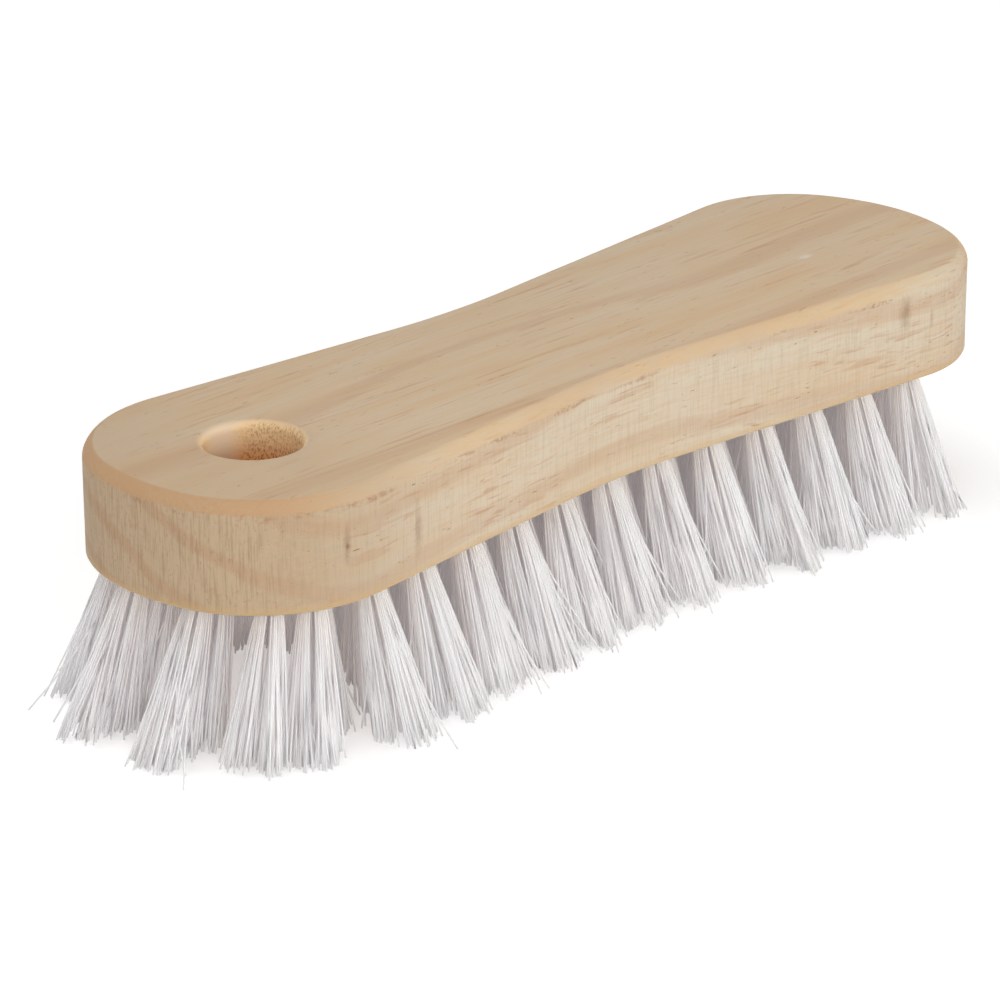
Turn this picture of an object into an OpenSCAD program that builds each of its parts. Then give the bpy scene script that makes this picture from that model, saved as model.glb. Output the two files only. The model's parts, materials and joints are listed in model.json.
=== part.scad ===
// Waisted wooden scrub brush, standing on the tips of its bristles.
// X runs along the block, with the hanging hole at the -X end and the broad head at the +X end.
// Y runs across it and Z points up. The origin is on the ground under the middle of the whole brush.

/* [Block] */
// Overall length of the block
block_len = 225; // [180:1:280]
// Thickness of the block
block_t = 23; // [18:0.5:30]
// Width across the grip, the end with the hanging hole
grip_w = 66; // [54:1:80]
// Width across the waist
waist_w = 52; // [42:1:64]
// Width across the broad head
head_w = 67; // [56:1:82]
// Radius of the blunt end of the grip
grip_end_r = 47.5; // [42:0.5:64]
// Radius of the two shoulders of the grip
grip_shoulder_r = 29; // [22:0.5:34]
// Radius of the blunt end of the head
head_end_r = 42.5; // [41:0.5:64]
// Radius of the two shoulders of the head
head_shoulder_r = 27; // [20:0.5:32]
// Radius of the hollow on either side of the waist
waist_r = 170; // [120:5:230]
// How far the waist lies from mid length, towards the grip
waist_shift = 4; // [0:0.5:12]
// How far the softened top edge reaches in from the side
top_edge_in = 2.4; // [1:0.1:4]
// How far the softened top edge reaches down the side
top_edge_down = 3; // [1:0.1:5]
// Size of the small chamfer round the underside
under_edge = 0.8; // [0.3:0.1:2]

/* [Hanging hole] */
// Bore of the hanging hole
hang_d = 19; // [12:0.5:24]
// Distance from the grip's end to the middle of the hanging hole
hang_from_end = 31; // [26:0.5:40]
// Radius of the rounded rim at both mouths of the hanging hole
hang_rim_r = 2; // [0.5:0.1:2.5]
// Wood kept between the bore of the hanging hole and the nearest tuft hole, at the underside
hang_wall = 3; // [2:0.5:6]

/* [Tufts] */
// Number of tuft rows across the block, counted along its length
row_count = 30; // [24:2:34]
// Distance from each end of the block to the first and the last row
row_end_gap = 8.5; // [7:0.5:12]
// Distance from the side of the block to the middle of the outermost tufts
tuft_edge_gap = 7.5; // [6:0.5:11]
// Bore of a tuft hole
tuft_hole_d = 4.8; // [4:0.1:5.5]
// Depth of a tuft hole
tuft_hole_depth = 13; // [9:0.5:15]
// Gap between a tuft's root and the wall of its hole
root_clearance = 0.1; // [0.05:0.05:0.2]
// How far the bound root of a tuft stands out of its hole
root_out = 0.8; // [0.4:0.1:1.5]

/* [Bristles] */
// Free length of the bristles below the block
bristle_len = 31; // [22:0.5:40]
// Thickness of a strand
strand_d = 1.3; // [0.9:0.1:1.4]
// Distance of the outer strands from the tuft's middle where they leave the root
root_spread = 1.5; // [1.3:0.05:1.6]
// Distance of the outer strands from the tuft's middle at the tips
tip_spread = 2.9; // [2:0.1:3]
// How far the tips of the outermost tufts lean out past the sides
side_lean = 10.5; // [4:0.5:12]
// How far a tuft right at the grip's end would lean out past it
end_lean = 15; // [4:0.5:16]
// Share of the half length beyond which tufts lean out past the grip's end, and less and less to the side
ends_from = 0.65; // [0.5:0.05:0.75]

/* [Anchor wires] */
// Width of the flat anchor wire, up and down the hole
anchor_w = 1.8; // [1.2:0.1:2.4]
// Thickness of the flat anchor wire
anchor_t = 0.45; // [0.3:0.05:0.6]
// How far each end of an anchor wire bites into the wood
anchor_bite = 0.35; // [0.2:0.05:0.6]
// Fold of bristle above the anchor wire
anchor_fold = 2; // [1:0.1:3]
// Gap between the anchor wire and the bristles folded over it
anchor_clearance = 0.05; // [0.02:0.01:0.1]
// Direction of the anchor wires, turned from the length of the block
anchor_turn = 45; // [0:5:90]

/* [Hidden] */
ARC_STEPS = 12;
STRANDS = 5;
STRAND_SIDES = 3;
// How late the strands of a tuft open out: 1 is a straight cone
SPREAD_POWER = 1.3;
// Turns of the strands from row to row and from tuft to tuft, in degrees, so that no two look alike
ROW_TURN = 29;
TUFT_TURN = 47;
BORE_FN = 96;
HOLE_FN = 32;
OVERLAP = 0.5;
// Where the softened top edge bends, as shares of its reach in and its reach down
EDGE_KNEE = [0.3, 0.42];

half_len = block_len / 2;
under_z = bristle_len;
top_z = bristle_len + block_t;
row_pitch = (block_len - 2 * row_end_gap) / (row_count - 1);
hang_x = -half_len + hang_from_end;
root_d = tuft_hole_d - 2 * root_clearance;
anchor_len = tuft_hole_d + 2 * anchor_bite;

// Centres of the outline's arcs on the +Y side
grip_shoulder = shoulder_centre(-1, grip_w, grip_end_r, grip_shoulder_r);
head_shoulder = shoulder_centre(1, head_w, head_end_r, head_shoulder_r);
waist_centre = [-waist_shift, waist_w / 2 + waist_r];

// The bristles reach past the grip's end, so the block stands off the origin by half of what they add.
centre_x = (reach(1) - reach(row_count)) / 2;

function row_name(k) = str("tuft_row_", k < 10 ? "0" : "", k);

// A shoulder arc touches the blunt end's arc from inside and reaches half the width of its end.
function shoulder_centre(side, width, end_r, r) =
    let (y = width / 2 - r, reach = sqrt((end_r - r) ^ 2 - y ^ 2))
    [side * (half_len - end_r + reach), y];

// Direction, seen from a shoulder's centre, of the point where it runs into the waist's tangent
function tangent_angle(shoulder, r, side) =
    let (to = waist_centre - shoulder, share = (r + waist_r) / norm(to))
    atan2(to.y, to.x) - side * acos(min(1, share));

function arc(centre, r, from, to) =
    [for (i = [0:ARC_STEPS]) centre + r * [cos(from + (to - from) * i / ARC_STEPS),
                                           sin(from + (to - from) * i / ARC_STEPS)]];

// The +Y half of the outline drawn in by an inset, from the grip's tip to the head's tip
function half_outline(inset) =
    let (grip_end = [-half_len + grip_end_r, 0],
         head_end = [half_len - head_end_r, 0],
         to_grip = grip_shoulder - grip_end,
         to_head = head_shoulder - head_end,
         grip_turn = atan2(to_grip.y, to_grip.x),
         head_turn = atan2(to_head.y, to_head.x),
         grip_tangent = tangent_angle(grip_shoulder, grip_shoulder_r, -1),
         head_tangent = tangent_angle(head_shoulder, head_shoulder_r, 1))
    concat(
        arc(grip_end, grip_end_r - inset, 180, grip_turn),
        rest(arc(grip_shoulder, grip_shoulder_r - inset, grip_turn, grip_tangent)),
        arc(waist_centre, waist_r + inset, grip_tangent + 180, head_tangent + 180),
        arc(head_shoulder, head_shoulder_r - inset, head_tangent, head_turn),
        rest(arc(head_end, head_end_r - inset, head_turn, 0)));

function rest(list) = [for (i = [1:len(list) - 1]) list[i]];

// A closed ring of the block at one height: the +Y half, then the -Y half on the way back
function ring(inset, z) =
    let (half = half_outline(inset), last = len(half) - 1)
    concat([for (p = half) [p.x, max(p.y, 0), z]],
           [for (i = [last - 1:-1:1]) [half[i].x, -half[i].y, z]]);

// Half width of the inset outline at a place along the block
function half_width(x, inset) = lookup(x, [for (p = half_outline(inset)) [p.x, p.y]]);

// Odd rows reach the edges and even rows stand between them, so that neighbouring tufts are staggered.
// The second row fills the corners beside the short first one, and the last rows taper to a single tuft.
function row_x(k) = -half_len + row_end_gap + (k - 1) * row_pitch;
function row_shares(k) =
    k == 1 ? [-1, 1] :
    k == row_count ? [0] :
    k == row_count - 1 ? [-0.4, 0.4] :
    k == 2 || k % 2 == 1 ? [-1, -1 / 3, 1 / 3, 1] : [-2 / 3, 0, 2 / 3];
function clears_hang(p) =
    norm(p - [hang_x, 0]) > hang_d / 2 + hang_wall + tuft_hole_d / 2;
function row_tufts(k) =
    let (x = row_x(k), w = half_width(x, tuft_edge_gap))
    [for (share = row_shares(k)) let (p = [x, share * w]) if (clears_hang(p)) p];

// How far the tips of the tuft at a place lie out from its root, level with the ground. The outermost
// tufts of a row lean most, and those of rows shorter than the waist's lean less.
function lean(p) =
    let (past = max(0, (abs(p.x) / half_len - ends_from) / (1 - ends_from)),
         widest = max(half_width(p.x, tuft_edge_gap), waist_w / 2 - tuft_edge_gap))
    [p.x < 0 ? -end_lean * past : 0, side_lean * (1 - past) * p.y / widest];

// How far the brush reaches past mid length of the block, at the end of the first or the last row
function reach(k) =
    let (root = [row_x(k), 0])
    max(half_len, abs(root.x) + abs(lean(root).x) + tip_spread + strand_d / 2);

// Places the children at a tuft's mouth, with +Z up its slanted hole.
module at_tuft(p) {
    out = lean(p);
    slant = atan2(norm(out), bristle_len);
    heading = norm(out) > 0 ? atan2(-out.y, -out.x) : 0;
    translate([p.x, p.y, under_z])
        rotate([0, slant, heading])
        rotate([0, 0, anchor_turn - heading])
        children();
}

// A solid drawn through a stack of level rings with the same number of points
module loft(rings, caps) {
    n = len(rings[0]);
    sides = [for (j = [0:len(rings) - 2], i = [0:n - 1])
        let (a = j * n + i, b = j * n + (i + 1) % n)
        each [[a, b + n, a + n], [a, b, b + n]]];
    polyhedron(points = [for (r = rings) each r], faces = concat(sides, caps), convexity = 6);
}

// Level caps of the block, in strips between its mirrored sides
function block_caps(n, first, up) =
    let (half = n / 2)
    [for (i = [0:half - 1])
        let (a = first + i, b = first + i + 1,
             c = first + (n - i - 1) % n, d = first + (n - i) % n)
        each i == 0 ? [turned([a, b, c], up)]
           : i == half - 1 ? [turned([a, b, d], up)]
           : [turned([a, b, c], up), turned([a, c, d], up)]];
function turned(face, up) = up ? face : [face[0], face[2], face[1]];

module block_body() {
    rings = [
        ring(under_edge, under_z),
        ring(0, under_z + under_edge),
        ring(0, top_z - top_edge_down),
        ring(top_edge_in * EDGE_KNEE[0], top_z - top_edge_down * EDGE_KNEE[1]),
        ring(top_edge_in, top_z)];
    n = len(rings[0]);
    loft(rings, concat(block_caps(n, 0, false), block_caps(n, 4 * n, true)));
}

// What the hanging hole takes away: a straight bore with a rounded rim at each mouth
module hang_cut() {
    mouth_r = hang_d / 2 + hang_rim_r;
    translate([hang_x, 0, 0]) {
        translate([0, 0, under_z - OVERLAP])
            cylinder(d = hang_d, h = block_t + 2 * OVERLAP, $fn = BORE_FN);
        for (mouth = [[top_z, 0], [under_z, 1]])
            translate([0, 0, mouth[0]])
                mirror([0, 0, mouth[1]])
                rotate_extrude($fn = BORE_FN)
                difference() {
                    translate([0, -hang_rim_r])
                        square([mouth_r, hang_rim_r + OVERLAP]);
                    translate([mouth_r, -hang_rim_r])
                        circle(r = hang_rim_r, $fn = BORE_FN);
                }
    }
}

// The bar of flat wire that holds a tuft, drawn out to a clearance
module anchor_bar(length, gap) {
    translate([-length / 2, -anchor_t / 2 - gap, tuft_hole_depth - anchor_fold - anchor_w - gap])
        cube([length, anchor_t + 2 * gap, anchor_w + 2 * gap]);
}

// A drilled tuft hole with the two bites of its anchor wire
module tuft_cut() {
    translate([0, 0, -OVERLAP * 2])
        cylinder(d = tuft_hole_d, h = tuft_hole_depth + OVERLAP * 2, $fn = HOLE_FN);
    anchor_bar(anchor_len, 0);
}

module wood_block() {
    color([0.84, 0.72, 0.55])
        translate([centre_x, 0, 0])
        difference() {
            block_body();
            hang_cut();
            for (k = [1:row_count], p = row_tufts(k)) at_tuft(p) tuft_cut();
        }
}

module anchor_wires() {
    color([0.7, 0.7, 0.72])
        translate([centre_x, 0, 0])
        for (k = [1:row_count], p = row_tufts(k)) at_tuft(p) anchor_bar(anchor_len, 0);
}

// Middle of a strand at a share of its way from the root to the tip, opening out in a curve
function strand_point(p, out, offset, t) =
    let (spread = root_spread + (tip_spread - root_spread) * t ^ SPREAD_POWER)
    [p.x + out.x * t + offset.x * spread,
     p.y + out.y * t + offset.y * spread,
     (under_z + OVERLAP) * (1 - t)];

// One strand, level at its tip, where the brush is trimmed flat
module strand(p, offset, turn) {
    out = lean(p);
    corners = [for (i = [STRAND_SIDES - 1:-1:0])
        let (a = turn + i * 360 / STRAND_SIDES)
        strand_d / 2 * [cos(a), sin(a), 0]];
    rings = [for (t = [1, 0.5, 0]) [for (corner = corners) strand_point(p, out, offset, t) + corner]];
    first = 2 * STRAND_SIDES;
    loft(rings, [[0, 2, 1], [first, first + 1, first + 2]]);
}

// A tuft: the root folded over its anchor wire, and the strands that fan out of it
module tuft(p, turn) {
    at_tuft(p)
        difference() {
            translate([0, 0, -root_out])
                cylinder(d = root_d, h = tuft_hole_depth + root_out, $fn = HOLE_FN);
            anchor_bar(tuft_hole_d * 2, anchor_clearance);
        }
    strand(p, [0, 0], turn);
    for (i = [1:STRANDS - 1]) {
        around = turn + i * 360 / (STRANDS - 1);
        strand(p, [cos(around), sin(around)], around);
    }
}

module tuft_row(k) {
    color([0.88, 0.86, 0.9])
        translate([centre_x, 0, 0])
        for (i = [0:len(row_tufts(k)) - 1])
            tuft(row_tufts(k)[i], ROW_TURN * k + TUFT_TURN * i);
}

wood_block();
anchor_wires();
for (k = [1:row_count]) tuft_row(k);
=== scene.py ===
"""Looks of a waisted wooden scrub brush with staple-set bristle tufts.

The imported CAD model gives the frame: the wood block's size, the hanging hole and one flat wire
anchor for each tuft. The block is rebuilt with smooth arcs, soft edges and its drilled holes, and
every tuft is rebuilt from fine filaments that fold over its own anchor.
"""

import json
import logging
import math
from dataclasses import dataclass, field
from enum import Enum

import bpy
import numpy as np
from mathutils import Matrix, Vector

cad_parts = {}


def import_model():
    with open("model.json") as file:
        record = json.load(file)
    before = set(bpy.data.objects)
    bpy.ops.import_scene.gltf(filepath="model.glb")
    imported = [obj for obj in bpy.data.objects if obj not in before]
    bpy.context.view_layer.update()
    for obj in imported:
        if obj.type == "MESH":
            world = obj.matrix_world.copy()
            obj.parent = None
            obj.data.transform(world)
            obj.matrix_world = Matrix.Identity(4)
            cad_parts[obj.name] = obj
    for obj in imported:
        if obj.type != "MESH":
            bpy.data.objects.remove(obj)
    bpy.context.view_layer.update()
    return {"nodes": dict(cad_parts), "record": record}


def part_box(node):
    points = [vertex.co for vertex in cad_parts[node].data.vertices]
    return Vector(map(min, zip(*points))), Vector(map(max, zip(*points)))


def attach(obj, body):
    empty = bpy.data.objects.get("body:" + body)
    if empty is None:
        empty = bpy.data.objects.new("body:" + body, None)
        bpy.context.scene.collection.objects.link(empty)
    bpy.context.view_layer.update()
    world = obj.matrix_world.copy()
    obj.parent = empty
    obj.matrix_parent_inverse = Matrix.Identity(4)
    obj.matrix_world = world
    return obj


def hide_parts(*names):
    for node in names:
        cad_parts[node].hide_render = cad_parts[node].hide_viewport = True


LOG = logging.getLogger("scrub_brush")

MM = 0.001
TO_MM = 1000.0
ROOT_BODY = "root"
SEED = 20
WHITE = (1.0, 1.0, 1.0, 1.0)


class Slot(Enum):
    """The record's material slots."""

    WOOD = "wood"
    BRISTLE = "bristle"
    ANCHOR_WIRE = "anchor_wire"


class Attribute(Enum):
    """Values stored on the points of a tuft's mesh."""

    ALONG = "along"
    TONE = "tone"


def linear(red: float, green: float, blue: float) -> tuple[float, float, float, float]:
    """Turns a screen colour into the linear colour that shaders take.

    Args:
        red: Red from 0 to 255.
        green: Green from 0 to 255.
        blue: Blue from 0 to 255.

    Returns:
        Linear red, green and blue, and an alpha of 1.
    """
    def one(value: float) -> float:
        """Turns one channel into its linear value."""
        share = value / 255
        return share / 12.92 if share <= 0.04045 else ((share + 0.055) / 1.055) ** 2.4

    return one(red), one(green), one(blue), 1.0


class Sheet:
    """A node tree with short calls to add and join its nodes."""

    def __init__(self, tree: bpy.types.NodeTree) -> None:
        """Takes the tree that the calls work on."""
        self.tree = tree

    def add(self, kind: str, **settings: object) -> bpy.types.Node:
        """Adds a node and sets it up.

        Args:
            kind: The node's type name.
            **settings: Properties of the node, by name.

        Returns:
            The new node.
        """
        node = self.tree.nodes.new(kind)
        for name, value in settings.items():
            setattr(node, name, value)
        return node

    def plug(self, source: object, target: bpy.types.NodeSocket) -> None:
        """Links a socket to a target, or sets the target to a constant.

        Args:
            source: An output socket or a plain value.
            target: The input socket that takes it.
        """
        if isinstance(source, bpy.types.NodeSocket):
            self.tree.links.new(source, target)
        else:
            target.default_value = source

    def math(self, operation: str, *values: object, clamp: bool = False) -> bpy.types.NodeSocket:
        """Adds a Math node.

        Args:
            operation: The node's operation.
            *values: One to three values or sockets.
            clamp: Whether the result is held between 0 and 1.

        Returns:
            The result's socket.
        """
        node = self.add("ShaderNodeMath", operation=operation, use_clamp=clamp)
        for value, target in zip(values, node.inputs):
            self.plug(value, target)
        return node.outputs[0]

    def times(self, first: object, *others: object) -> bpy.types.NodeSocket:
        """Multiplies two or more values or sockets."""
        for other in others:
            first = self.math("MULTIPLY", first, other)
        return first

    def step(self, value: object, low: object, high: object, start: float = 0.0,
             end: float = 1.0) -> bpy.types.NodeSocket:
        """Adds a smooth Map Range node.

        Args:
            value: Value or socket to map.
            low: Value or socket mapped to start.
            high: Value or socket mapped to end.
            start: Result at low.
            end: Result at high.

        Returns:
            The result's socket.
        """
        node = self.add("ShaderNodeMapRange", interpolation_type="SMOOTHSTEP", clamp=True)
        for name, source in (("Value", value), ("From Min", low), ("From Max", high),
                             ("To Min", start), ("To Max", end)):
            self.plug(source, node.inputs[name])
        return node.outputs[0]

    def blend(self, share: object, first: object, second: object,
              mode: str = "MIX") -> bpy.types.NodeSocket:
        """Mixes two colours.

        Args:
            share: How much of the second colour is taken.
            first: First colour or socket.
            second: Second colour or socket.
            mode: The mix node's blend type.

        Returns:
            The mixed colour's socket.
        """
        node = self.add("ShaderNodeMix", data_type="RGBA", blend_type=mode)
        self.plug(share, node.inputs["Factor"])
        self.plug(first, node.inputs["A"])
        self.plug(second, node.inputs["B"])
        return next(s for s in node.outputs if s.type == "RGBA")

    def scaled(self, vector: object, factors: object) -> bpy.types.NodeSocket:
        """Multiplies a vector by three factors.

        Args:
            vector: Vector or socket.
            factors: Three factors, or a socket that holds them.

        Returns:
            The scaled vector's socket.
        """
        node = self.add("ShaderNodeVectorMath", operation="MULTIPLY")
        self.plug(vector, node.inputs[0])
        self.plug(factors, node.inputs[1])
        return node.outputs[0]

    def length(self, vector: bpy.types.NodeSocket) -> bpy.types.NodeSocket:
        """Measures a vector."""
        node = self.add("ShaderNodeVectorMath", operation="LENGTH")
        self.plug(vector, node.inputs[0])
        return node.outputs["Value"]

    def parts(self, vector: bpy.types.NodeSocket) -> tuple[bpy.types.NodeSocket, ...]:
        """Splits a vector into its X, Y and Z sockets."""
        node = self.add("ShaderNodeSeparateXYZ")
        self.plug(vector, node.inputs[0])
        return tuple(node.outputs)

    def joined(self, x: object, y: object, z: object) -> bpy.types.NodeSocket:
        """Makes a vector of three values or sockets."""
        node = self.add("ShaderNodeCombineXYZ")
        for source, target in zip((x, y, z), node.inputs):
            self.plug(source, target)
        return node.outputs[0]

    def noise(self, vector: object, detail: float, roughness: float,
              distortion: float = 0.0) -> bpy.types.NodeSocket:
        """Adds a noise texture of scale 1.

        Args:
            vector: Where the noise is read.
            detail: Number of finer layers.
            roughness: How strong the finer layers are.
            distortion: How far the pattern is bent.

        Returns:
            The noise's value socket.
        """
        node = self.add("ShaderNodeTexNoise")
        self.plug(vector, node.inputs["Vector"])
        for name, value in (("Scale", 1.0), ("Detail", detail), ("Roughness", roughness),
                            ("Distortion", distortion)):
            node.inputs[name].default_value = value
        return node.outputs[0]

    def use(self, group: bpy.types.NodeTree, **inputs: object) -> bpy.types.NodeSocket:
        """Places a node group.

        Args:
            group: The group to place.
            **inputs: Values or sockets by input name.

        Returns:
            The socket of the group's mask.
        """
        node = self.add("ShaderNodeGroup", node_tree=group)
        for name, source in inputs.items():
            self.plug(source, node.inputs[name])
        return node.outputs["Mask"]

    def seen_white(self) -> bpy.types.NodeSocket:
        """Gives 1 where a surface is seen, straight or in a reflection, and 0 where it lights."""
        rays = self.add("ShaderNodeLightPath").outputs
        seen = self.math("ADD", rays["Is Camera Ray"], rays["Is Glossy Ray"])
        return self.math("ADD", seen, rays["Is Transmission Ray"], clamp=True)


@dataclass(frozen=True)
class SharedEffects:
    """Node groups that more than one finish uses, built once."""

    streaks: bpy.types.NodeTree
    blotches: bpy.types.NodeTree

    @classmethod
    def build(cls) -> "SharedEffects":
        """Builds the groups.

        Returns:
            The groups, ready to be placed in materials.
        """
        return cls(cls._streaks(), cls._blotches())

    @staticmethod
    def _new_group(name: str, **values: float) -> tuple[Sheet, bpy.types.Node, bpy.types.Node]:
        """Makes a group that takes a Position and some values and gives a Mask.

        Args:
            name: The group's name.
            **values: Default of each value, by input name.

        Returns:
            The group's sheet, its input node and its output node.
        """
        tree = bpy.data.node_groups.new(name, "ShaderNodeTree")
        tree.interface.new_socket("Position", in_out="INPUT", socket_type="NodeSocketVector")
        for label, value in values.items():
            socket = tree.interface.new_socket(label, in_out="INPUT",
                                               socket_type="NodeSocketFloat")
            socket.default_value = value
        tree.interface.new_socket("Mask", in_out="OUTPUT", socket_type="NodeSocketFloat")
        sheet = Sheet(tree)
        return sheet, sheet.add("NodeGroupInput"), sheet.add("NodeGroupOutput")

    @classmethod
    def _streaks(cls) -> bpy.types.NodeTree:
        """Builds thin marks that run along X, seen as dots on faces across X.

        Returns:
            The group, with a Mask between 0 and 1.
        """
        sheet, given, out = cls._new_group("Streaks along the grain", Length=10.0, Width=0.5,
                                           From=0.4, To=0.6)
        along = sheet.math("DIVIDE", 1.0, given.outputs["Length"])
        across = sheet.math("DIVIDE", 1.0, given.outputs["Width"])
        place = sheet.scaled(given.outputs["Position"], sheet.joined(along, across, across))
        value = sheet.noise(place, 2.0, 0.5)
        sheet.plug(sheet.step(value, given.outputs["From"], given.outputs["To"]),
                   out.inputs["Mask"])
        return sheet.tree

    @classmethod
    def _blotches(cls) -> bpy.types.NodeTree:
        """Builds soft uneven patches, such as handling soil or tone.

        Returns:
            The group, with a Mask between 0 and 1.
        """
        sheet, given, out = cls._new_group("Soft patches", Size=20.0, From=0.45, To=0.7)
        per_mm = sheet.math("DIVIDE", 1.0, given.outputs["Size"])
        place = sheet.scaled(given.outputs["Position"], sheet.joined(per_mm, per_mm, per_mm))
        value = sheet.noise(place, 3.0, 0.55, 0.4)
        sheet.plug(sheet.step(value, given.outputs["From"], given.outputs["To"]),
                   out.inputs["Mask"])
        return sheet.tree


def new_material(name: str) -> tuple[bpy.types.Material, Sheet, bpy.types.Node]:
    """Makes a material with an empty Principled shader.

    Args:
        name: The material's name.

    Returns:
        The material, its sheet and the shader's node.
    """
    material = bpy.data.materials.new(name)
    material.use_nodes = True
    sheet = Sheet(material.node_tree)
    shader = next(n for n in material.node_tree.nodes if n.type == "BSDF_PRINCIPLED")
    return material, sheet, shader


def place_in_mm(sheet: Sheet) -> bpy.types.NodeSocket:
    """Gives a point's own place on the object, in millimetres."""
    coordinates = sheet.add("ShaderNodeTexCoord")
    return sheet.scaled(coordinates.outputs["Object"], (TO_MM, TO_MM, TO_MM))


@dataclass(frozen=True)
class RubMark:
    """A soft mark on the wood, in millimetres from under the block's middle."""

    x: float
    y: float
    z: float
    reach: tuple[float, float, float]
    strength: float
    pale: bool = False


RUB_MARKS = (
    RubMark(-88.1, -32.6, 43.4, (1.3, 6.0, 6.5), 0.5),
    RubMark(-88.0, -32.6, 43.1, (0.8, 3.0, 0.9), 0.9),
    RubMark(-68.7, -31.7, 40.5, (1.6, 6.0, 9.0), 0.42),
    RubMark(74.3, -32.7, 47.0, (2.6, 6.0, 6.0), 0.5),
    RubMark(82.1, -33.4, 44.0, (0.9, 6.0, 3.5), 0.35),
    RubMark(72.0, -6.7, 54.0, (3.4, 1.6, 3.0), 0.85, pale=True))


@dataclass(frozen=True)
class WoodFace:
    """What the wood's finish reads at a point of the block, with places in millimetres."""

    sheet: Sheet
    effects: SharedEffects
    hole: "HangingHole"
    outline: "BlockOutline"
    place: bpy.types.NodeSocket
    x: bpy.types.NodeSocket
    y: bpy.types.NodeSocket
    z: bpy.types.NodeSocket
    across: bpy.types.NodeSocket
    upward: bpy.types.NodeSocket
    end: bpy.types.NodeSocket

    @classmethod
    def read(cls, sheet: Sheet, effects: SharedEffects, hole: "HangingHole",
             outline: "BlockOutline") -> "WoodFace":
        """Adds the nodes that read a point's place and facing.

        Args:
            sheet: The material's sheet.
            effects: The shared node groups.
            hole: The hanging hole.
            outline: The block's outline.

        Returns:
            The readings. Across is how squarely the face cuts the grain, upward how far it faces
            up, and end a mask of the end grain.
        """
        place = place_in_mm(sheet)
        normal = sheet.parts(sheet.add("ShaderNodeTexCoord").outputs["Normal"])
        across = sheet.math("ABSOLUTE", normal[0])
        return cls(sheet, effects, hole, outline, place, *sheet.parts(place), across, normal[2],
                   sheet.step(across, 0.4, 0.9))

    @property
    def top(self) -> float:
        """Height of the block's top face."""
        return self.hole.top * TO_MM

    @property
    def middle(self) -> float:
        """Place of the block's middle along X."""
        return self.outline.centre_x * TO_MM

    @property
    def grip(self) -> float:
        """Place of the grip's end along X."""
        return self.outline.grip_end * TO_MM

    def noise(self, per_mm: tuple, detail: float, roughness: float) -> bpy.types.NodeSocket:
        """Reads noise with its own fineness along each axis."""
        return self.sheet.noise(self.sheet.scaled(self.place, per_mm), detail, roughness)

    def streaks(self, length: float, width: float, low: float,
                high: float) -> bpy.types.NodeSocket:
        """Masks thin marks along the grain, where the noise rises from low to high."""
        return self.sheet.use(self.effects.streaks, Position=self.place, Length=length,
                              Width=width, From=low, To=high)

    def patches(self, size: float, low: float, high: float,
                shorten: float = 1.0) -> bpy.types.NodeSocket:
        """Masks soft patches, drawn out along the grain where shorten is under 1."""
        place = self.sheet.scaled(self.place, (shorten, 1.0, 1.0))
        return self.sheet.use(self.effects.blotches, Position=place, Size=size, From=low,
                              To=high)


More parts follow.
